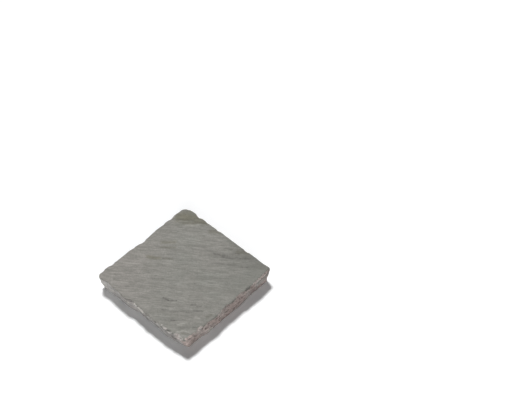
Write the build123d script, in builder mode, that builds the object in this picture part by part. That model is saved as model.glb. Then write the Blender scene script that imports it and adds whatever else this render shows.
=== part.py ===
from build123d import *
from typing import NamedTuple
import math
import os

# A hand-dressed natural stone sett: one block of riven sandstone, laid flat.
# X and Y run along the sides, Z is up, and the origin is the middle of the bed that the block lies on.
# The corners are named left (-X -Y), near (+X -Y), right (+X +Y) and far (-X +Y), and the sides between
# them near left, near right, far right and far left. All sizes are in millimetres.

# Overall size, over the proudest points of the arrises
block_length = 202.5
block_width = 208.5
block_thickness = 30.0

# The riven top ends in an arris that is worn back and down
arris_wear = 1.5
arris_fall = 2.0

# Height at which the dressed sides belly out
belly_height = 13.0


class Level(NamedTuple):
    """One level of the block, with the share of each side's undercut, belly and wear there."""

    height: float
    undercut: float
    belly: float
    wear: float


class Side(NamedTuple):
    """One dressed side, from the corner of the overall size where it starts, anticlockwise.

    It is dressed in strokes of equal length. At each end of a stroke the arris stands `setback` inside
    the overall size, the foot of the side stands `undercut` further in, and between them the side
    bellies out by `belly`. The middle of a stroke may have a chip struck off the arris, with its own
    length and depth.
    """

    corner: Vector
    along: Vector
    length: float
    corner_radius: float
    setback: list
    undercut: list
    belly: list
    chips: list

    def inward(self):
        """Direction from the side into the block."""
        return Vector(-self.along.Y, self.along.X)

    def offset(self, end, level):
        """How far inside the overall size the side stands at this end of a stroke."""
        leaning = self.undercut[end] * level.undercut - self.belly[end] * level.belly
        return self.setback[end] + leaning + arris_wear * level.wear


near_left = Side(
    corner=Vector(-block_length / 2, -block_width / 2),
    along=Vector(1, 0),
    length=block_length,
    corner_radius=8.0,
    setback=[1.6, 3.8, 1.4, 1.0, 2.5, 0.0, 0.2, 1.0, 2.4, 4.6],
    undercut=[6.5, 4.5, 7.7, 7.2, 8.7, 11.5, 10.8, 7.6, 9.0, 10.5],
    belly=[0.4, 1.2, 0.5, 0.9, -0.5, -0.8, -0.6, 0.7, 0.3, 1.2],
    chips=[None, None, None, (8.0, 1.1), (15.0, 1.6), (10.0, 1.2), (9.0, 1.1), (13.0, 1.6), (12.0, 1.5)],
)
near_right = Side(
    corner=Vector(block_length / 2, -block_width / 2),
    along=Vector(0, 1),
    length=block_width,
    corner_radius=7.0,
    setback=[1.4, 1.1, 1.4, 0.2, 1.6, 1.3, 0.5, 0.0, 0.7, 2.4],
    undercut=[4.0, 5.0, 1.8, 3.4, 2.2, 1.9, 4.2, 6.8, 4.9, 4.5],
    belly=[1.2, 0.3, 0.9, -0.4, 0.5, -0.3, 0.8, 1.3, 0.2, 0.6],
    chips=[None, (10.0, 1.2), None, (14.0, 1.5), None, None, (12.0, 1.3), None, None],
)
far_right = Side(
    corner=Vector(block_length / 2, block_width / 2),
    along=Vector(-1, 0),
    length=block_length,
    corner_radius=6.0,
    setback=[2.9, 3.8, 2.5, 2.8, 2.3, 1.6, 1.6, 0.8, 0.0, 0.5],
    undercut=[4.4, 7.0, 8.4, 7.5, 6.2, 7.0, 8.6, 7.4, 6.4, 6.0],
    belly=[0.6, 1.4, 0.5, 1.9, 0.8, -0.2, 1.3, 0.4, 1.6, 0.9],
    chips=[None, None, (12.0, 1.6), None, None, (10.0, 1.2), None, (13.0, 1.5), None],
)
far_left = Side(
    corner=Vector(-block_length / 2, block_width / 2),
    along=Vector(0, -1),
    length=block_width,
    corner_radius=14.0,
    setback=[0.0, 0.0, 0.6, 1.2, 3.2, 2.4, 1.4, 2.6, 0.9, 1.3],
    undercut=[6.0, 7.5, 8.8, 7.2, 6.4, 7.6, 8.4, 7.0, 6.6, 6.5],
    belly=[0.9, 0.3, 1.7, 0.8, 1.8, 0.4, 1.4, -0.3, 1.1, 0.4],
    chips=[None, (11.0, 1.4), None, None, (15.0, 1.8), None, None, (12.0, 1.3), None],
)
sides = [near_left, near_right, far_right, far_left]


def dressed_points(number, level):
    """Ends of the strokes of one side in plan, from corner to corner, at one level of the block."""
    side = sides[number]
    before = sides[number - 1]
    after = sides[(number + 1) % len(sides)]
    start = before.offset(-1, level)
    finish = side.length - after.offset(0, level)
    strokes = len(side.setback) - 1
    points = []
    for end in range(strokes + 1):
        distance = start + (finish - start) * end / strokes
        inset = side.inward() * side.offset(end, level)
        points.append(side.corner + side.along * distance + inset)
    return points


def knocked_corner(before, corner, after, radius):
    """Start, middle and end of the arc that knocks off a corner between the points beside it."""
    back = (before - corner).normalized()
    ahead = (after - corner).normalized()
    half_angle = math.radians(back.get_angle(ahead) / 2)
    reach = radius / math.tan(half_angle)
    depth = radius / math.sin(half_angle) - radius
    return corner + back * reach, corner + (back + ahead).normalized() * depth, corner + ahead * reach


arris_height = block_thickness - arris_fall
foot = Level(height=0, undercut=1, belly=0, wear=0)
middle = Level(height=belly_height, undercut=1 - belly_height / arris_height, belly=1, wear=0)
arris = Level(height=arris_height, undercut=0, belly=0, wear=0)
top = Level(height=block_thickness, undercut=0, belly=0, wear=1)
chipped = Level(height=arris_height + arris_fall / 2, undercut=0, belly=0, wear=0.5)

with BuildPart() as sett:
    for level in [foot, middle, arris, top]:
        lines = [dressed_points(number, level) for number in range(len(sides))]
        arcs = [
            knocked_corner(lines[number - 1][-2], line[0], line[1], sides[number].corner_radius)
            for number, line in enumerate(lines)
        ]
        with BuildSketch(Plane.XY.offset(level.height)):
            with BuildLine():
                for number, arc in enumerate(arcs):
                    next_arc = arcs[(number + 1) % len(arcs)]
                    ThreePointArc(*arc)
                    Polyline(arc[-1], *lines[number][1:-1], next_arc[0])
            make_face()
    loft(ruled=True)

    # Chips struck off the arrises, each a shallow round hollow that faces up and outwards
    for number, side in enumerate(sides):
        outward = (Vector(0, 0, 1) - side.inward()).normalized()
        ends = dressed_points(number, chipped)
        for stroke, chip in enumerate(side.chips):
            if chip is None:
                continue
            chip_length, chip_depth = chip
            radius = chip_length**2 / (8 * chip_depth) + chip_depth / 2
            struck = (ends[stroke] + ends[stroke + 1]) / 2 + Vector(0, 0, chipped.height)
            with Locations(struck + outward * (radius - chip_depth)):
                Sphere(radius, mode=Mode.SUBTRACT)

sett.part.label = "sett"

os.makedirs("parts", exist_ok=True)
export_step(sett.part, "parts/sett.step")
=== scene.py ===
import math
import random
from typing import NamedTuple

import bmesh
import bpy
import numpy as np
from bpy.props import FloatProperty, FloatVectorProperty, IntProperty, PointerProperty
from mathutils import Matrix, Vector, kdtree, noise


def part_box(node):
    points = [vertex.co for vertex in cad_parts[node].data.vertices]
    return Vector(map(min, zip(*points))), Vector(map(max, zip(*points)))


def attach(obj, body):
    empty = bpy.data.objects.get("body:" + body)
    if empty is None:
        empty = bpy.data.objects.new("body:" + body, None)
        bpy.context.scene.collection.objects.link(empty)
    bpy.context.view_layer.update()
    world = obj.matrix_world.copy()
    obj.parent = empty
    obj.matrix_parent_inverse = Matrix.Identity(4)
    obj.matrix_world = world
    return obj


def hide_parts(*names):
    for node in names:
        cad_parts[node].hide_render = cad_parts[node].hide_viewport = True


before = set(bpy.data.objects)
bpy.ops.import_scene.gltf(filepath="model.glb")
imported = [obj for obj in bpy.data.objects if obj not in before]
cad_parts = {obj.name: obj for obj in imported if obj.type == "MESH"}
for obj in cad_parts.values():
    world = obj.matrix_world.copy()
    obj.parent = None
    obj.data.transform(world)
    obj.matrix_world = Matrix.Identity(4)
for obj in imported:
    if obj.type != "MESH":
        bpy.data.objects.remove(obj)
LOW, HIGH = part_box("sett")

bl_info = {
    "name": "Riven sandstone sett",
    "version": (1, 0, 0),
    "blender": (4, 5, 0),
    "location": "3D View > Sidebar > Stone sett",
    "description": "Dresses the packed block as hand-dressed riven sandstone, with its stage",
    "category": "Add Mesh",
}

# A hand-dressed sandstone sett, in metres: +Z up, with the bed that it lies on at zero. Its corners are
# named left (-X -Y), near (+X -Y), right (+X +Y) and far (-X +Y), and the sides between them near left,
# near right, far right and far left.
MM = 0.001
TOWARDS_FAR_CORNER = (-0.7, 0.7, 0)

# The laminations cross the riven top at this angle from +X, along STREAK
STREAK_ANGLE = math.radians(36)
STREAK = np.array([math.cos(STREAK_ANGLE), math.sin(STREAK_ANGLE)])
ACROSS = np.array([-STREAK[1], STREAK[0]])

# Nicks broken off the arris: least and most of their radius and depth in millimetres, how fresh the
# freshest is, and how bare they are of the riven skin
NICK_RADIUS = (3, 9)
NICK_DEPTH = (0.2, 0.6)
NICK_FRESH = 0.4
NICK_BARE = 0.5

# The arris reaches this far down from the top
ARRIS_BAND = 2.5 * MM

# A chip or nick is as fresh and as bare as it gets where it cuts this deep
FULL_CUT = 0.2 * MM

# Finest relief: the pits and grain of the riven top, the wear beside its arris and the bed's hollows
PIT_DEPTH = 0.5 * MM
GRAIN_DEPTH = 0.12 * MM
WEAR_DEPTH = 0.2 * MM
BED_DEPTH = 0.9 * MM

# Rounds in which the places round each one are averaged, to find the hollows
HOLLOW_ROUNDS = 6

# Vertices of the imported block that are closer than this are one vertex, and no length to divide by is
# less than the least one
SAME_PLACE = 0.01 * MM
LEAST_LENGTH = 1e-6

# The floor's white is slightly cool, and the floor lies this far under the bed, so that the two faces
# don't fall together
FLOOR_TINT = (0.993, 1.0, 1.007)
FLOOR_GAP = 0.02 * MM


class Mark(NamedTuple):
    """A streak on the riven top: its middle, length and width in millimetres, and its turn in degrees.

    It is a groove of that depth in millimetres, or a ridge if the depth is negative. A negative `tone`
    darkens the stone there and a positive one lightens it, and `olive` stains it.
    """

    place: tuple
    length: float
    width: float
    turn: float
    depth: float = 0.0
    tone: float = 0.0
    olive: float = 0.0


MARKS = [
    # The olive-brown stain near the far corner, its dark lines and the pale line beside it
    Mark((-78, 91), 54, 24, 43, 0.1, -0.1, 1.0),
    Mark((-78, 83), 34, 4.5, 43, 0.2, -0.5, 0.8),
    Mark((-62, 87), 50, 4.5, 41, 0.2, -0.5, 0.8),
    Mark((-62, 80), 26, 3, 43, -0.1, 0.5),
    Mark((-56, 97), 32, 9, 41, 0.1, -0.2, 0.9),
    # Darker and greener stone along the far right arris
    Mark((20, 99), 170, 24, 2, 0, -0.25),
    Mark((-24, 96), 22, 9, 40, 0.1, -0.2, 0.5),
    Mark((43, 96), 28, 8, 38, 0.1, -0.4, 0.5),
    # Olive and brown streaks towards the left corner
    Mark((-65, 27), 28, 6, 42, 0.15, -0.1, 0.6),
    Mark((-57, 19), 28, 3.5, 40, 0.15, -0.4, 0.5),
    Mark((-59, -13), 26, 6, 34, 0.1, -0.1, 0.9),
    Mark((-42, 12), 16, 3.5, 38, 0.15, -0.6),
    Mark((-40, 1), 20, 3.5, 32, 0.15, -0.6, 0.4),
    Mark((-34, -9), 24, 4.5, 32, -0.1, 0.4),
    Mark((-76, -46), 22, 3, 32, -0.1, 0.6),
    Mark((-25, -41), 28, 3.5, 38, 0.15, -0.5),
    Mark((-61, -57), 14, 3, 40, 0.15, -0.5),
    Mark((-56, -82), 15, 3, 38, -0.1, 0.6),
    Mark((-50, -87), 16, 3, 38, 0.15, -0.6),
    Mark((-6, -61), 18, 6, 40, 0.2, -0.4),
    # Long faint lines across the middle
    Mark((-15, 51), 56, 3.5, 38, 0.15, -0.45),
    Mark((-15, 18), 40, 4, 38, 0.15, -0.45),
    Mark((50, 15), 16, 3, 40, 0.15, -0.4),
    Mark((67, 28), 12, 3, 40, 0.15, -0.4),
    Mark((73, 21), 12, 3, 40, 0.15, -0.4),
    # Dark streaks towards the right corner, in darker stone
    Mark((30, 68), 90, 40, 38, 0, -0.2),
    Mark((18, 84), 16, 3.5, 36, 0.15, -0.6),
    Mark((16, 64), 20, 6, 30, 0.15, -0.7),
    Mark((30, 70), 20, 7, 30, 0.15, -0.7),
    Mark((34, 84), 18, 3.5, 38, 0.2, -0.6),
    Mark((50, 85), 32, 5, 36, 0.25, -0.6),
    Mark((27, 50), 24, 3.5, 38, 0.2, -0.6),
    Mark((45, 62), 16, 3.5, 34, 0.2, -0.6),
    Mark((65, 74), 14, 3.5, 38, 0.2, -0.5),
    # A small step with a pale lip beside it, and the streaks from there to the near left arris
    Mark((17, -60), 12, 4, 16, 0.5, -1.2),
    Mark((28, -55), 16, 3, 40, 0.4, -1.0),
    Mark((30, -58), 15, 2.6, 42, -0.2, 0.8),
    Mark((32, -76), 12, 3.5, 40, 0.2, -0.7),
    Mark((54, -60), 36, 4.5, 39, 0.25, -0.6),
    Mark((50, -87), 26, 4.5, 40, 0.3, -0.6),
    # Pale and dark streaks at the near corner, and pale flecks
    Mark((71, -79), 15, 4, 60, -0.2, 1.0),
    Mark((80, -90), 14, 2.6, 52, -0.2, 1.1),
    Mark((89, -83), 10, 2.6, 16, -0.2, 1.0),
    Mark((62, -77), 24, 3, 45, 0.15, -0.6),
    Mark((79, -81), 20, 3.5, 42, 0.15, -0.6),
    Mark((88, -88), 14, 2.5, 40, 0.15, -0.6, 0.4),
    Mark((91, -70), 7, 4, 40, 0.1, -0.8),
    Mark((36, -33), 10, 5, 5, -0.1, 0.5),
    Mark((82, -53), 11, 5, 10, -0.1, 0.5),
    Mark((-75, -91), 26, 3, -47, 0, 0.5),
    # Short dents near the near right arris
    Mark((58, -38), 9, 5, 43, 0.3, -0.8),
    Mark((67, -35), 10, 4, 43, 0.3, -0.9),
    Mark((73, -42), 17, 4, 40, 0.35, -1.1),
    Mark((92, -38), 12, 6, 75, 0.3, -0.6, 0.3),
]


class Chip(NamedTuple):
    """A chip struck off near a place, with the radius and depth of its hollow, in millimetres.

    `fresh` is how pale its stone is. The chip faces outwards, and up by `up` for one outwards.
    """

    place: tuple
    radius: float
    depth: float
    fresh: float
    up: float = 0.9


CHIPS = [
    # Pale chips on the near left side, under the arris
    Chip((-62, -99, 16), 3.5, 0.6, 1.0),
    Chip((-56, -99, 17), 3.0, 0.4, 0.6),
    Chip((-42, -99, 24), 3.0, 0.4, 0.6),
    Chip((-29, -101, 19), 4.0, 0.8, 1.0),
    # The bright worn stretch of the near left arris
    Chip((-13, -102, 28.5), 7.0, 0.35, 0.8),
    Chip((-7, -102, 28.5), 8.0, 0.4, 1.0),
    Chip((-2, -103, 28), 8.0, 0.5, 1.0),
    Chip((4, -103, 28), 8.0, 0.6, 1.0),
    Chip((9, -104, 28), 7.0, 0.5, 0.7),
    Chip((15, -104, 28), 6.0, 0.4, 0.4),
    Chip((21, -104, 28.5), 5.0, 0.3, 0.4),
    # Hollows of the near left side, in the shade under its arris
    Chip((7, -102, 14), 9.0, 1.2, 0, -0.2),
    Chip((23, -102, 18), 9.0, 1.0, 0, -0.2),
    Chip((39, -101, 20), 10.0, 1.2, 0, -0.2),
    Chip((61, -100, 21), 9.0, 1.0, 0, -0.2),
    Chip((75, -99, 20), 9.0, 1.2, 0, -0.2),
    # Small breaks of that arris, from its bright stretch to the near corner
    Chip((34, -102, 28.5), 5.0, 0.3, 0),
    Chip((42, -101, 28.5), 5.0, 0.2, 0),
    Chip((50, -100, 28.5), 6.0, 0.2, 0),
    Chip((57, -100, 28), 6.0, 0.3, 0),
    Chip((63, -99, 29), 5.0, 0.3, 0.4),
    Chip((70, -99, 28), 5.0, 0.3, 0.1),
    Chip((80, -99, 27), 5.0, 0.3, 0.1),
    # The near corner, with the stone broken off its top
    Chip((90, -97, 29), 12.0, 0.7, 0, 1.2),
    Chip((97, -91, 29), 12.0, 0.9, 0, 1.4),
    Chip((98, -80, 29), 12.0, 0.7, 0, 0.8),
    Chip((99, -70, 29), 9.0, 0.6, 0.1, 1.2),
    # Spalls of the near right arris, and the pale chip at the foot of that side
    Chip((99, -6, 28), 16.0, 1.4, 0, 0.2),
    Chip((98, 29, 28), 12.0, 0.8, 0, 0.2),
    Chip((99, 56, 28), 16.0, 1.4, 0, 0.2),
    Chip((99, 70, 29), 20.0, 1.2, 0, 0.8),
    Chip((100, 86, 29), 28.0, 1.6, 0, 0.8),
    Chip((96, -42, 3), 5.0, 0.9, 1.0, 0.4),
]


class Patch(NamedTuple):
    """A patch of the sides round a place, with its radius, in millimetres.

    It is paler by `tone` and redder by `russet`, or darker and greyer where they are negative, and
    `skin` is how much of the riven skin is left there.
    """

    place: tuple
    radius: float
    tone: float
    russet: float
    skin: float = 0.0


PATCHES = [
    # The near corner and the maroon and grey stretches of the near right side
    Patch((99, -90, 16), 10, 0.9, 0.6),
    Patch((99, -96, 13), 6, -0.2, 0.6),
    Patch((91, -100, 20), 7, 0.7, 0.4),
    Patch((98, -78, 22), 6, -0.8, 0.2),
    Patch((98, -68, 22), 11, 0.3, -0.1),
    Patch((98, -52, 14), 8, 1.1, 0),
    Patch((98, -37, 22), 10, 0, 0.2),
    Patch((99, -17, 16), 10, 0.1, 0),
    Patch((99, 2, 14), 12, -0.1, 0.3),
    Patch((98, 18, 14), 10, -0.1, 0.3),
    Patch((99, 33, 18), 12, -0.3, 0.3),
    Patch((98, 45, 12), 9, 0.2, -0.6),
    Patch((98, 56, 18), 8, -1.0, 0.6),
    Patch((98, 67, 24), 8, 0.9, -0.8, 0.4),
    Patch((98, 86, 20), 18, 0.6, -0.4, 0.3),
    Patch((100, 78, 28), 8, -0.5, 0.3),
    Patch((100, 92, 28), 8, -0.4, 0.2),
    Patch((98, 84, 3), 9, -0.1, 0.4),
    Patch((97, -26, 6), 6, 0.5, -0.1),
    Patch((97, -35, 8), 5, 0.4, -0.1),
    # Painted shade in the near left side's hollows under its arris, and the paler stone of its end
    Patch((8, -102, 15), 8, -1.5, 0),
    Patch((23, -102, 18), 7, -0.4, 0),
    Patch((41, -101, 20), 9, 0.1, 0),
    Patch((61, -100, 21), 7, -0.1, 0),
    Patch((75, -99, 20), 8, -1.0, 0.2),
    Patch((-78, -99, 16), 14, 0.6, -0.4),
    Patch((-96, -96, 14), 20, 1.4, -0.4),
]


class BlockShape(bpy.types.PropertyGroup):
    """Sizes of the relief that the dressed block gets."""

    mesh_size: FloatProperty(
        name="Mesh size", description="Size of the mesh's faces before they are thinned",
        default=0.8 * MM, min=0.5 * MM, unit="LENGTH", precision=5,
    )
    most_triangles: IntProperty(
        name="Most triangles", description="Triangles that the finished block may have", default=190000,
    )
    swell: FloatProperty(
        name="Swell", description="Depth of the broad hollows of the riven faces",
        default=0.7 * MM, unit="LENGTH", precision=5,
    )
    ripple: FloatProperty(
        name="Ripple", description="Depth of the long ripples that follow the laminations",
        default=0.4 * MM, unit="LENGTH", precision=5,
    )
    sheet: FloatProperty(
        name="Sheet", description="Thickness of one sheet of stone that has cleaved off the top",
        default=0.25 * MM, unit="LENGTH", precision=5,
    )
    hollow: FloatProperty(
        name="Hollow", description="Depth of the hollows that the dressing hammer left in the sides",
        default=1.5 * MM, unit="LENGTH", precision=5,
    )
    spall: FloatProperty(
        name="Spall", description="Depth of the small flakes that came off the sides",
        default=0.7 * MM, unit="LENGTH", precision=5,
    )
    rough: FloatProperty(
        name="Roughness", description="Depth of the broken grain of the sides",
        default=0.3 * MM, unit="LENGTH", precision=5,
    )
    nicks: IntProperty(
        name="Nicks", description="Small chips broken off the arris", default=70,
    )
    drawn_out: FloatProperty(
        name="Drawn out", description="Length along the side of a chip's hollow, for one across it",
        default=1.6, min=1,
    )
    seed: IntProperty(name="Seed", description="Start of the random draws", default=7)


def stone_colour(red, green, blue):
    """Linear colour, by the sRGB curve, from the 0 to 255 values at which the stone shows."""
    return tuple(((shown / 255 + 0.055) / 1.055) ** 2.4 for shown in (red, green, blue))


def colour_property(name, description, *shown):
    """A colour that the panel shows, from the 0 to 255 values at which the stone shows."""
    return FloatVectorProperty(
        name=name, description=description, default=stone_colour(*shown), subtype="COLOR", min=0, max=1,
    )


class BlockFinish(bpy.types.PropertyGroup):
    """Colours of the sandstone."""

    riven: colour_property("Riven", "Grey-green of the riven top", 149, 149, 143)
    shade: colour_property("Shade", "Darker laminations of the riven top", 116, 116, 110)
    warm: colour_property("Warm", "Warmer stone towards the left corner", 155, 151, 146)
    olive: colour_property("Olive", "Olive-brown stain near the far corner", 120, 116, 96)
    broken: colour_property("Broken", "Greyer stone of the dressed sides", 191, 189, 186)
    russet: colour_property("Russet", "Reddish brown of the dressed sides", 195, 179, 173)
    dark: colour_property("Dark", "Dark grains of the dressed sides", 100, 89, 86)
    fresh: colour_property("Fresh", "Pale stone where the arris has chipped", 214, 210, 203)
    roughness: FloatProperty(name="Roughness", description="Roughness of the stone", default=0.9)


class StageSettings(bpy.types.PropertyGroup):
    """Floor, lights and camera."""

    floor_size: FloatProperty(
        name="Floor size", description="Side of the square floor", default=16.0, unit="LENGTH",
    )
    sun_direction: FloatVectorProperty(
        name="Sun direction", description="Direction towards the sun", default=(-0.436, 0.264, 0.860),
    )
    floor_white: FloatProperty(
        name="Floor white", description="How white the floor shows to the camera", default=1.1,
    )
    floor_bounce: FloatProperty(
        name="Floor bounce", description="Share of the light that the floor throws back", default=0.52,
    )
    sun_share: FloatProperty(
        name="Sun share", description="Light of the sun on a level surface", default=0.83,
    )
    sun_width: FloatProperty(
        name="Sun width", description="Angle that the sun takes up, which softens its shadow",
        default=math.radians(13), unit="ROTATION",
    )
    fill_share: FloatProperty(
        name="Fill share", description="Light of the fill on a surface that faces it", default=0.53,
    )
    fill_height: FloatProperty(
        name="Fill height", description="Angle at which the fill stands over the floor",
        default=math.radians(11), unit="ROTATION",
    )
    fill_width: FloatProperty(
        name="Fill width", description="Angle that the fill takes up, which softens its shadow",
        default=math.radians(50), unit="ROTATION",
    )
    sky_share: FloatProperty(
        name="Sky share", description="Light of the sky all round", default=0.045,
    )
    camera_place: FloatVectorProperty(
        name="Camera place", description="Where the camera stands",
        default=(0.98195, -0.89265, 1.629), unit="LENGTH", subtype="TRANSLATION",
    )
    camera_turn: FloatProperty(
        name="Camera turn", description="Turn of the camera from looking along +Y",
        default=math.radians(42.78), unit="ROTATION",
    )
    camera_pitch: FloatProperty(
        name="Camera pitch", description="How far down the camera looks",
        default=math.radians(47.24), unit="ROTATION",
    )
    lens: FloatProperty(name="Lens", description="Focal length in millimetres", default=90.0)


def smooth(value, low, high):
    """Rises smoothly from 0 at low to 1 at high."""
    share = np.clip((value - low) / (high - low), 0, 1)
    return share * share * (3 - 2 * share)


def lumps(places, size, octaves, seed):
    """Smooth noise from about -1 to 1 at each place, in lumps of that size."""
    shift = Vector((31.7, 17.3, 5.9)) * seed
    return np.array([noise.fractal(Vector(place) + shift, 1.0, 2.0, octaves) for place in places / size])


def scallops(places, size, seed):
    """Depth from about -1 to 0.5 at each place, in round hollows of that size that meet in ridges.

    Each hollow has its own depth.
    """
    shift = Vector((11.3, 47.9, 23.1)) * seed
    depths = []
    for place in places / size:
        squares, middles = noise.voronoi(Vector(place) + shift, distance_metric="DISTANCE_SQUARED")
        hollows = [0.4 * noise.cell(middle) - square for middle, square in zip(middles, squares)]
        depths.append(max(hollows))
    return np.array(depths)


def streaked(places, stretch):
    """The places turned to the streaks and shortened along them, so that noise there is stretched."""
    return np.column_stack([places[:, :2] @ STREAK / stretch, places[:, :2] @ ACROSS, places[:, 2]])


def search_tree(places, numbers):
    """A tree in which to find the nearest of the places with those numbers."""
    tree = kdtree.KDTree(len(numbers))
    for number in numbers:
        tree.insert(places[number], number)
    tree.balance()
    return tree


def nearest(places, numbers):
    """For each place, which of the places with those numbers is nearest, and how far away it is."""
    tree = search_tree(places, numbers)
    found = [tree.find(place) for place in places]
    return np.array([number for _, number, _ in found]), np.array([distance for _, _, distance in found])


def read_places(mesh):
    """Where the mesh's vertices are."""
    places = np.empty(len(mesh.vertices) * 3, np.float32)
    mesh.vertices.foreach_get("co", places)
    return places.reshape(-1, 3)


def write_places(mesh, places):
    """Moves the mesh's vertices to those places."""
    mesh.vertices.foreach_set("co", places.astype(np.float32).ravel())


class Relief:
    """The block's mesh as places, outward directions and the measures that its finish reads.

    `rest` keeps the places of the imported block, and `places` is where the relief moves them.
    """

    def __init__(self, mesh, shape):
        self.shape = shape
        self.draw = random.Random(shape.seed)
        self.places = read_places(mesh).astype(float)
        self.rest = self.places.copy()
        count = len(self.rest)
        self.tree = search_tree(self.rest, range(count))
        self.normals = np.array([normal.vector for normal in mesh.vertex_normals])
        level = np.linalg.norm(self.normals[:, :2], axis=1)
        self.outward = np.zeros_like(self.normals)
        self.outward[:, :2] = self.normals[:, :2] / np.maximum(level, LEAST_LENGTH)[:, None]

        # How much each place belongs to the sides, the top and the bed
        self.side = smooth(level, 0.35, 0.75)
        self.top = smooth(self.normals[:, 2], 0.3, 0.85)
        self.bed = smooth(-self.normals[:, 2], 0.85, 0.98)

        # For each place, the nearest one of the arris and of the foot of the sides, and its distance
        self.upper = self.rest[:, 2] > HIGH.z / 2
        edge = (level > 0.3) & (level < 0.9)
        self.arris, self.from_arris = nearest(self.rest, np.flatnonzero(edge & self.upper))
        self.foot, self.from_foot = nearest(self.rest, np.flatnonzero(edge & ~self.upper))

        # Noise that makes the marks wander, and noise that makes the chips' hollows uneven
        self.wander = lumps(self.rest, size=9 * MM, octaves=2, seed=11)
        self.uneven = 0.9 * lumps(self.rest * (0.5, 0.5, 1), size=2.2 * MM, octaves=3, seed=14)

        # The riven skin goes over the arris, and goes down furthest at the worn right corner
        from_corner = np.linalg.norm(self.rest - np.array(HIGH), axis=1) / (26 * MM)
        uneven_skin = 3 * lumps(self.rest, size=13 * MM, octaves=3, seed=13)
        skin = (2.2 + uneven_skin + 8 * np.exp(-from_corner ** 2)) * MM
        self.dressed = self.side * smooth(HIGH.z - self.rest[:, 2] - skin, -1 * MM, 1 * MM)
        self.fresh = np.zeros(count)
        self.tone = np.zeros(count)
        self.olive = np.zeros(count)

    def strike(self, number, towards, radius, depth, fresh, bare=1.0):
        """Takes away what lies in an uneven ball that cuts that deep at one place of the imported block.

        The ball is drawn out along the side. It leaves a hollow with a sharp rim, which is as fresh and
        as bare of the riven skin as given.
        """
        drawn_out = self.shape.drawn_out
        centre = self.rest[number] + np.array(Vector(towards).normalized()) * (radius - depth)
        along = np.cross((0, 0, 1), self.outward[number])
        for _, struck, _ in self.tree.find_range(centre, drawn_out * (radius + depth)):
            away = self.places[struck] - centre
            shortened = away - along * (away @ along) * (1 - 1 / drawn_out)
            distance = max(np.linalg.norm(shortened), LEAST_LENGTH)
            reach = radius + depth * self.uneven[struck]
            cut = reach - distance
            if cut <= 0:
                continue
            self.places[struck] = centre + away * (reach / distance)
            share = min(1, cut / FULL_CUT)
            self.fresh[struck] = max(self.fresh[struck], fresh * share)
            self.dressed[struck] = max(self.dressed[struck], bare * share)

    def strike_arris(self):
        """Nicks broken off the arris, a few of them fresh and pale, and then the chips that show most."""
        near_top = self.rest[:, 2] > HIGH.z - ARRIS_BAND
        edge = np.flatnonzero((self.side > 0.2) & (self.side < 0.9) & near_top)
        for _ in range(self.shape.nicks):
            number = self.draw.choice(edge)
            radius = self.draw.uniform(*NICK_RADIUS) * MM
            depth = self.draw.uniform(*NICK_DEPTH) * MM
            towards = self.outward[number] + (0, 0, self.draw.uniform(0, 1))
            fresh = NICK_FRESH * self.draw.uniform(0, 1) ** 4
            self.strike(number, towards, radius, depth, fresh, NICK_BARE)
        for chip in CHIPS:
            number = self.tree.find(Vector(chip.place) * MM)[1]
            towards = self.outward[number] + (0, 0, chip.up)
            self.strike(number, towards, chip.radius * MM, chip.depth * MM, chip.fresh)

    def dress_sides(self):
        """The hollows and the broken grain of the sides, which also move the edges beside them."""
        shape = self.shape
        # The stone breaks in layers, so its hollows are wider than high
        layered = self.rest * (1, 1, 1.6)
        depth = shape.hollow * scallops(layered, size=14 * MM, seed=1)
        depth += shape.spall * scallops(layered, size=5 * MM, seed=2)
        depth += shape.rough * lumps(self.rest, size=3.5 * MM, octaves=4, seed=4)
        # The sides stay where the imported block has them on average, and the arris moves less than they do
        depth -= depth[self.side > 0.95].mean()
        depth *= 0.35 + 0.65 * smooth(self.from_arris, 0, 6 * MM)
        edge = np.where(self.upper, self.arris, self.foot)
        distance = np.where(self.upper, self.from_arris, self.from_foot)
        beside = (1 - self.side) * np.clip(1 - distance / (7 * MM), 0, 1) ** 2
        inward = depth * self.side + depth[edge] * beside
        direction = np.where(self.side[:, None] > 0.5, self.outward, self.outward[edge])
        self.places -= direction * inward[:, None]

    def redden_sides(self):
        """Where the sides are redder or greyer, and their patches."""
        near_corner = smooth(self.rest[:, 0] - self.rest[:, 1], 175 * MM, 200 * MM)
        self.russet = 0.3 + 0.5 * self.outward[:, 0] + 0.3 * self.outward[:, 1] + 0.4 * near_corner
        self.russet += 0.35 * lumps(self.rest, size=14 * MM, octaves=2, seed=12)
        for patch in PATCHES:
            away = np.linalg.norm(self.rest / MM - patch.place, axis=1) / patch.radius
            strength = np.exp(-away * away) * self.side
            # Some patches paint shade into the near left side's hollows under its arris
            self.tone += patch.tone * strength
            self.russet += patch.russet * strength
            self.dressed -= patch.skin * strength
        self.russet = np.clip(self.russet, 0, 1)
        self.dressed = np.clip(self.dressed, 0, 1)

    def rive_top(self):
        """The cleaved surface of the top: swells, ripples, sheets, pits and marks."""
        shape = self.shape
        swell = 0.5 + 0.6 * lumps(self.rest, size=62 * MM, octaves=2, seed=5)
        ripple = 0.5 + 0.5 * lumps(streaked(self.rest, 7), size=5 * MM, octaves=4, seed=6)
        # One more sheet has come away wherever this field passes a whole number
        field = 2 * lumps(streaked(self.rest, 3.5), size=24 * MM, octaves=3, seed=7)
        sheets = np.floor(field) + smooth(field % 1, 0.86, 1)
        pits = lumps(self.rest, size=5 * MM, octaves=2, seed=8) - 0.45
        grain = lumps(self.rest, size=2.6 * MM, octaves=2, seed=9)
        worn = np.clip(1 - self.from_arris / (6 * MM), 0, 1) ** 2

        depth = shape.swell * np.clip(swell, 0, 1) + shape.ripple * ripple + shape.sheet * sheets
        depth += PIT_DEPTH * np.clip(pits, 0, 1)
        depth += GRAIN_DEPTH * grain
        for mark in MARKS:
            depth += mark.depth * MM * self.draw_mark(mark)
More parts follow.
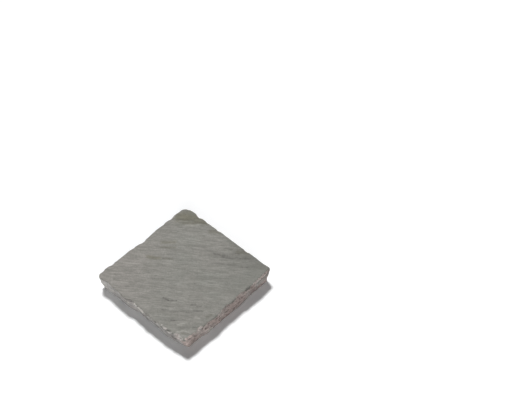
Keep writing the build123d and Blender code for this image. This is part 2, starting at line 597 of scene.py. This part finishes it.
        # The highest 6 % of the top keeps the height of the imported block, and the arris falls less
        depth -= np.percentile(depth[self.top > 0.99], 6)
        depth *= 0.25 + 0.75 * smooth(self.from_arris, 0, 12 * MM)
        depth += WEAR_DEPTH * worn
        self.places[:, 2] -= self.top * np.maximum(depth, 0)

        # Painted shade where the arris falls away: the top is darker along the far arrises
        far = np.clip(self.outward[self.arris] @ TOWARDS_FAR_CORNER, 0, 1)
        self.tone -= 0.35 * far * np.exp(-(self.from_arris / (3 * MM)) ** 2) * self.top

    def draw_mark(self, mark):
        """How strongly a mark shows at each place, and gives the stone its tone and stain."""
        turn = math.radians(mark.turn)
        offset = self.rest[:, :2] / MM - mark.place
        along = offset @ (math.cos(turn), math.sin(turn)) / (mark.length / 2)
        across = offset @ (-math.sin(turn), math.cos(turn)) / (mark.width / 2) + 0.5 * self.wander
        ends = smooth(-np.abs(along), -1.2, -0.7)
        strength = ends * np.exp(-across * across) * self.top
        self.tone += mark.tone * strength
        self.olive = np.maximum(self.olive, mark.olive * strength)
        return strength

    def rive_bed(self):
        """Shallow hollows of the bed, which still lies on its high places."""
        field = lumps(self.rest, size=30 * MM, octaves=4, seed=10) + 0.1
        hollow = BED_DEPTH * np.clip(field, 0, 1)
        self.places[:, 2] += self.bed * hollow

    def measure_hollows(self, mesh):
        """How many millimetres each place lies under those round it, which is negative on an edge."""
        ends = np.empty(len(mesh.edges) * 2, np.int32)
        mesh.edges.foreach_get("vertices", ends)
        first, second = ends.reshape(-1, 2).T
        count = len(self.places)
        neighbours = np.bincount(first, minlength=count) + np.bincount(second, minlength=count)
        mean = self.places.copy()
        for _ in range(HOLLOW_ROUNDS):
            total = []
            for values in mean.T:
                over_first = np.bincount(first, values[second], count)
                over_second = np.bincount(second, values[first], count)
                total.append(over_first + over_second)
            mean = np.stack(total, 1) / neighbours[:, None]
        self.hollow = ((mean - self.places) * self.normals).sum(1) / MM


def write_measure(mesh, name, values):
    """Keeps one value for each vertex under that name, for the finish to read."""
    made = mesh.attributes.new(name, "FLOAT", "POINT")
    made.data.foreach_set("value", np.asarray(values, np.float32))


def applied(piece, kind, **settings):
    """Puts a modifier on the piece and makes its result the piece's mesh."""
    modifier = piece.modifiers.new(kind.title(), kind)
    for name, value in settings.items():
        setattr(modifier, name, value)
    bpy.context.view_layer.update()
    shown = piece.evaluated_get(bpy.context.evaluated_depsgraph_get())
    mesh = bpy.data.meshes.new_from_object(shown)
    piece.modifiers.clear()
    spare, piece.data = piece.data, mesh
    bpy.data.meshes.remove(spare)
    mesh.name = piece.name
    return mesh


def keep_in_box(mesh):
    """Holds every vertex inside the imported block's box."""
    write_places(mesh, np.clip(read_places(mesh), LOW, HIGH))


def make_block(shape):
    """The dressed block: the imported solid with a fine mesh, then every kind of relief."""
    mesh = bpy.data.meshes.new("sandstone_sett")
    bm = bmesh.new()
    bm.from_mesh(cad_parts["sett"].data)
    bmesh.ops.remove_doubles(bm, verts=bm.verts, dist=SAME_PLACE)
    bm.to_mesh(mesh)
    bm.free()
    piece = bpy.data.objects.new("sandstone_sett", mesh)
    bpy.context.scene.collection.objects.link(piece)
    mesh = applied(piece, "REMESH", mode="VOXEL", voxel_size=shape.mesh_size)

    relief = Relief(mesh, shape)
    relief.strike_arris()
    relief.dress_sides()
    relief.redden_sides()
    relief.rive_top()
    relief.rive_bed()
    relief.measure_hollows(mesh)
    write_places(mesh, relief.places)
    # The tone measure holds the stone's own lighter and darker places, and painted shade along the far
    # arrises and in the near left side's hollows
    for name in ("dressed", "fresh", "tone", "olive", "russet", "hollow"):
        write_measure(mesh, name, getattr(relief, name))

    triangles = sum(len(polygon.vertices) - 2 for polygon in mesh.polygons)
    mesh = applied(piece, "DECIMATE", ratio=min(1, shape.most_triangles / triangles))
    keep_in_box(mesh)
    mesh.shade_smooth()
    return piece


class Finish:
    """A material in the making: each method adds one node and gives back its output."""

    def __init__(self, name):
        self.material = bpy.data.materials.new(name)
        self.material.use_nodes = True
        self.tree = self.material.node_tree
        self.tree.nodes.clear()

    def add(self, kind, settings, **inputs):
        """Adds a node, with its settings, and gives each named input a value or a link."""
        node = self.tree.nodes.new("ShaderNode" + kind)
        for name, value in settings.items():
            setattr(node, name, value)
        for name, value in inputs.items():
            self.give(node.inputs[name.replace("_", " ")], value)
        return node

    def give(self, socket, value):
        """Links an output to the socket, or sets a plain value there."""
        if isinstance(value, bpy.types.NodeSocket):
            self.tree.links.new(value, socket)
        else:
            socket.default_value = value

    def measure(self, name):
        """A value that the mesh keeps for each vertex."""
        return self.add("Attribute", {"attribute_name": name}).outputs["Fac"]

    def places(self, turn=0.0, scale=(1, 1, 1)):
        """The piece's own coordinates, turned about Z and scaled."""
        own = self.add("TexCoord", {}).outputs["Object"]
        turned = self.add("Mapping", {}, Vector=own, Rotation=(0, 0, turn)).outputs[0]
        return self.add("Mapping", {}, Vector=turned, Scale=scale).outputs[0]

    def noise(self, places, size, detail=3.0, roughness=0.5):
        """Noise from 0 to 1 in lumps of that size."""
        node = self.add("TexNoise", {}, Vector=places, Scale=1 / size, Detail=detail, Roughness=roughness)
        return node.outputs["Fac"]

    def rise(self, value, low, high, start=0.0, end=1.0):
        """Takes low to high smoothly to start to end, and no further."""
        ends = {"From_Min": low, "From_Max": high, "To_Min": start, "To_Max": end}
        node = self.add("MapRange", {"interpolation_type": "SMOOTHSTEP"}, Value=value, **ends)
        return node.outputs["Result"]

    def maths(self, operation, first, second):
        """The sum, product or other result of two values."""
        node = self.add("Math", {"operation": operation})
        self.give(node.inputs[0], first)
        self.give(node.inputs[1], second)
        return node.outputs[0]

    def mix(self, share, first, second):
        """The first colour, with that share of the second."""
        node = self.add("Mix", {"data_type": "RGBA"})
        self.give(node.inputs[0], share)
        # The node's colours are its sockets 6 and 7, after those for plain values and places
        for number, colour in ((6, first), (7, second)):
            if not isinstance(colour, bpy.types.NodeSocket):
                colour = (*colour, 1.0)
            self.give(node.inputs[number], colour)
        return node.outputs[2]

    def close(self, shader):
        """Links the shader to the material's output, and gives back the material."""
        node = self.tree.nodes.new("ShaderNodeOutputMaterial")
        self.tree.links.new(shader, node.inputs["Surface"])
        return self.material


def riven_colour(finish, colours, own, streaks):
    """Colour of the cleaved top: laminations, warmer and darker stone, and the marks."""
    fine = finish.noise(streaks, 2.4 * MM, detail=5.0, roughness=0.65)
    wide = finish.noise(streaks, 9 * MM)
    cloud = finish.noise(own, 55 * MM, detail=2.0)
    colour = finish.mix(finish.rise(wide, 0.4, 0.75, end=0.65), colours.riven, colours.shade)
    # Along the streaks, the stone is warmer towards the left corner and darker towards the right one
    along = finish.add("SeparateXYZ", {}, Vector=finish.places(-STREAK_ANGLE)).outputs["X"]
    left = finish.rise(along, 30 * MM, -110 * MM)
    warmth = finish.maths("MULTIPLY", finish.rise(cloud, 0.35, 0.65), 0.5)
    colour = finish.mix(finish.maths("MAXIMUM", left, warmth), colour, colours.warm)
    colour = finish.mix(finish.rise(along, 40 * MM, 125 * MM, end=0.5), colour, colours.shade)
    stain = finish.maths("MULTIPLY", finish.measure("olive"), finish.rise(fine, 0.3, 0.6, start=0.45))
    colour = finish.mix(stain, colour, colours.olive)
    return finish.mix(finish.rise(fine, 0.3, 0.7, end=0.7), colour, colours.shade)


def dressed_colour(finish, colours, own):
    """Colour of the dressed sides: greyer and redder stone, layers, and pale and dark grains."""
    russet = finish.measure("russet")
    layers = finish.noise(finish.places(scale=(0.3, 0.3, 1.0)), 3 * MM, detail=4.0, roughness=0.6)
    mottle = finish.noise(finish.places(scale=(0.6, 0.6, 1.0)), 5 * MM, detail=4.0, roughness=0.65)
    grains = finish.noise(own, 2.8 * MM, roughness=0.6)
    colour = finish.mix(russet, colours.broken, colours.russet)
    colour = finish.mix(finish.rise(layers, 0.42, 0.7, end=0.5), colour, colours.dark)
    # The redder the stone is, the darker are its mottle and its grains
    strong = finish.rise(russet, 0.0, 0.8, start=0.25, end=0.8)
    for field, low, high in ((mottle, 0.5, 0.68), (grains, 0.54, 0.68)):
        share = finish.maths("MULTIPLY", finish.rise(field, low, high), strong)
        colour = finish.mix(share, colour, colours.dark)
    return finish.mix(finish.rise(grains, 0.44, 0.3, end=0.4), colour, colours.fresh)


def sandstone(colours):
    """The sandstone: colour, grain and roughness, from the piece's own coordinates and measures."""
    finish = Finish("sandstone")
    own = finish.places()
    streaks = finish.places(-STREAK_ANGLE, scale=(0.14, 1.0, 1.0))
    dressed = finish.measure("dressed")
    hollow = finish.measure("hollow")

    # The riven skin ends in a ragged line
    spill = finish.noise(own, 4 * MM, roughness=0.6)
    share = finish.rise(finish.maths("ADD", dressed, finish.maths("SUBTRACT", spill, 0.5)), 0.4, 0.8)
    colour = finish.mix(
        share, riven_colour(finish, colours, own, streaks), dressed_colour(finish, colours, own),
    )

    # Pale stone in the fresh chips and, faintly, on the sharp edges of the sides
    level = finish.places(scale=(0.4, 0.4, 1.0))
    break_up = finish.rise(finish.noise(level, 2.8 * MM, roughness=0.6), 0.25, 0.45)
    fresh = finish.maths("MULTIPLY", finish.measure("fresh"), break_up)
    edge = finish.maths("MULTIPLY", finish.rise(hollow, -0.08, -0.4, end=0.15), share)
    fresh = finish.maths("MAXIMUM", fresh, finish.maths("MULTIPLY", edge, break_up))
    colour = finish.mix(fresh, colour, colours.fresh)

    # Grain and speckle, the marks and patches with the painted shade in the tone measure, and darker
    # hollows as painted shade and dirt
    grain = finish.noise(own, 0.9 * MM, detail=2.0, roughness=0.7)
    speckle = finish.noise(own, 2.4 * MM, roughness=0.6)
    light = finish.maths("ADD", finish.rise(grain, 0.3, 0.7, start=-0.07, end=0.07), 1.0)
    light = finish.maths("ADD", light, finish.rise(speckle, 0.3, 0.7, start=-0.08, end=0.08))
    # The tone measure includes painted shade along the far arrises and in the near left side's hollows
    light = finish.maths("ADD", light, finish.maths("MULTIPLY", finish.measure("tone"), 0.3))
    # Painted shade and dirt darken the hollows
    light = finish.maths("SUBTRACT", light, finish.rise(hollow, 0.03, 0.35, end=0.3))
    colour = finish.add("VectorMath", {"operation": "SCALE"}, Vector=colour, Scale=light).outputs[0]

    wear = finish.noise(own, 6 * MM, detail=2.0)
    rough = finish.rise(wear, 0.3, 0.7, start=colours.roughness - 0.06, end=0.98)
    height = finish.noise(own, 1.1 * MM, detail=4.0, roughness=0.65)
    bump = finish.add("Bump", {}, Strength=0.6, Distance=0.3 * MM, Height=height).outputs[0]
    shader = finish.add("BsdfPrincipled", {}, Base_Color=colour, Roughness=rough, Normal=bump)
    shader.inputs["Specular IOR Level"].default_value = 0.3
    return finish.close(shader.outputs[0])


class SETT_OT_add_block(bpy.types.Operator):
    """Add the hand-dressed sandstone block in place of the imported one"""

    bl_idname = "sett.add_block"
    bl_label = "Add block"
    bl_options = {"REGISTER", "UNDO"}

    def execute(self, context):
        piece = make_block(context.scene.sett_shape)
        piece.data.materials.clear()
        piece.data.materials.append(sandstone(context.scene.sett_finish))
        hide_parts("sett")
        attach(piece, "root")
        return {"FINISHED"}


def seen_share(tree):
    """1 where a background is seen, straight or in gloss or glass, and 0 for other light."""
    path = tree.nodes.new("ShaderNodeLightPath")
    seen = path.outputs["Is Camera Ray"]
    for name in ("Is Glossy Ray", "Is Transmission Ray"):
        either = tree.nodes.new("ShaderNodeMath")
        either.operation = "MAXIMUM"
        tree.links.new(seen, either.inputs[0])
        tree.links.new(path.outputs[name], either.inputs[1])
        seen = either.outputs[0]
    return seen


def floor_material(white, bounce):
    """A slightly cool white where it is seen, and a grey for the light that it throws back."""
    finish = Finish("pale_floor")
    shown = tuple(tint * white for tint in FLOOR_TINT)
    colour = finish.mix(seen_share(finish.tree), (bounce, bounce, bounce), shown)
    return finish.close(finish.add("BsdfDiffuse", {}, Color=colour).outputs[0])


def add_floor(size, material):
    """A square floor just under the bed."""
    mesh = bpy.data.meshes.new("floor")
    bm = bmesh.new()
    bmesh.ops.create_grid(bm, x_segments=1, y_segments=1, size=size / 2)
    bmesh.ops.translate(bm, verts=bm.verts, vec=(0, 0, LOW.z - FLOOR_GAP))
    bm.to_mesh(mesh)
    bm.free()
    mesh.materials.append(material)
    floor = bpy.data.objects.new("floor", mesh)
    bpy.context.scene.collection.objects.link(floor)
    return floor


def add_sun(name, towards, share, width):
    """A sun that gives a surface facing it that share of a full light, and takes up that angle."""
    light = bpy.data.lights.new(name, "SUN")
    light.energy = share * math.pi
    light.angle = width
    lamp = bpy.data.objects.new(name, light)
    lamp.rotation_euler = Vector(towards).to_track_quat("Z", "Y").to_euler()
    bpy.context.scene.collection.objects.link(lamp)


def add_sky(share):
    """An even sky that shows white behind the floor."""
    world = bpy.data.worlds.new("studio")
    world.use_nodes = True
    nodes, links = world.node_tree.nodes, world.node_tree.links
    nodes.clear()
    strength = nodes.new("ShaderNodeMapRange")
    strength.inputs["To Min"].default_value = share
    strength.inputs["To Max"].default_value = 1.0
    links.new(seen_share(world.node_tree), strength.inputs["Value"])
    background = nodes.new("ShaderNodeBackground")
    background.inputs["Color"].default_value = (1.0, 1.0, 1.0, 1.0)
    links.new(strength.outputs["Result"], background.inputs["Strength"])
    output = nodes.new("ShaderNodeOutputWorld")
    links.new(background.outputs[0], output.inputs["Surface"])
    bpy.context.scene.world = world


def add_camera(stage):
    """The camera, at the photograph's angle."""
    lens = bpy.data.cameras.new("camera")
    lens.lens = stage.lens
    camera = bpy.data.objects.new("camera", lens)
    camera.location = stage.camera_place
    camera.rotation_euler = (math.pi / 2 - stage.camera_pitch, 0, stage.camera_turn)
    bpy.context.scene.collection.objects.link(camera)
    bpy.context.scene.camera = camera


class SETT_OT_add_stage(bpy.types.Operator):
    """Add the floor, the lights and the camera"""

    bl_idname = "sett.add_stage"
    bl_label = "Add stage"
    bl_options = {"REGISTER", "UNDO"}

    def execute(self, context):
        stage = context.scene.sett_stage
        floor = add_floor(stage.floor_size, floor_material(stage.floor_white, stage.floor_bounce))

        sun = Vector(stage.sun_direction).normalized()
        add_sun("key_light", sun, stage.sun_share / sun.z, stage.sun_width)
        # The fill comes from the camera's side of the block
        turn, height = stage.camera_turn, stage.fill_height
        fill = (math.sin(turn) * math.cos(height), -math.cos(turn) * math.cos(height), math.sin(height))
        add_sun("fill_light", fill, stage.fill_share, stage.fill_width)
        add_sky(stage.sky_share)
        add_camera(stage)
        context.scene.view_settings.view_transform = "Standard"
        return {"FINISHED"}


class SETT_PT_panel(bpy.types.Panel):
    """Sizes, colours and stage of the stone sett"""

    bl_label = "Stone sett"
    bl_idname = "SETT_PT_panel"
    bl_space_type = "VIEW_3D"
    bl_region_type = "UI"
    bl_category = "Stone sett"

    def draw(self, context):
        scene = context.scene
        groups = (
            (scene.sett_shape, SETT_OT_add_block),
            (scene.sett_finish, None),
            (scene.sett_stage, SETT_OT_add_stage),
        )
        for group, operator in groups:
            box = self.layout.box()
            for name in type(group).__annotations__:
                box.prop(group, name)
            if operator:
                box.operator(operator.bl_idname)


CLASSES = (BlockShape, BlockFinish, StageSettings, SETT_OT_add_block, SETT_OT_add_stage, SETT_PT_panel)


def register():
    for made in CLASSES:
        bpy.utils.register_class(made)
    bpy.types.Scene.sett_shape = PointerProperty(type=BlockShape)
    bpy.types.Scene.sett_finish = PointerProperty(type=BlockFinish)
    bpy.types.Scene.sett_stage = PointerProperty(type=StageSettings)


def unregister():
    for name in ("sett_stage", "sett_finish", "sett_shape"):
        delattr(bpy.types.Scene, name)
    for made in reversed(CLASSES):
        bpy.utils.unregister_class(made)


def main():
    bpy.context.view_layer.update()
    register()
    bpy.ops.sett.add_block()
    bpy.ops.sett.add_stage()


if __name__ == "__main__":
    main()
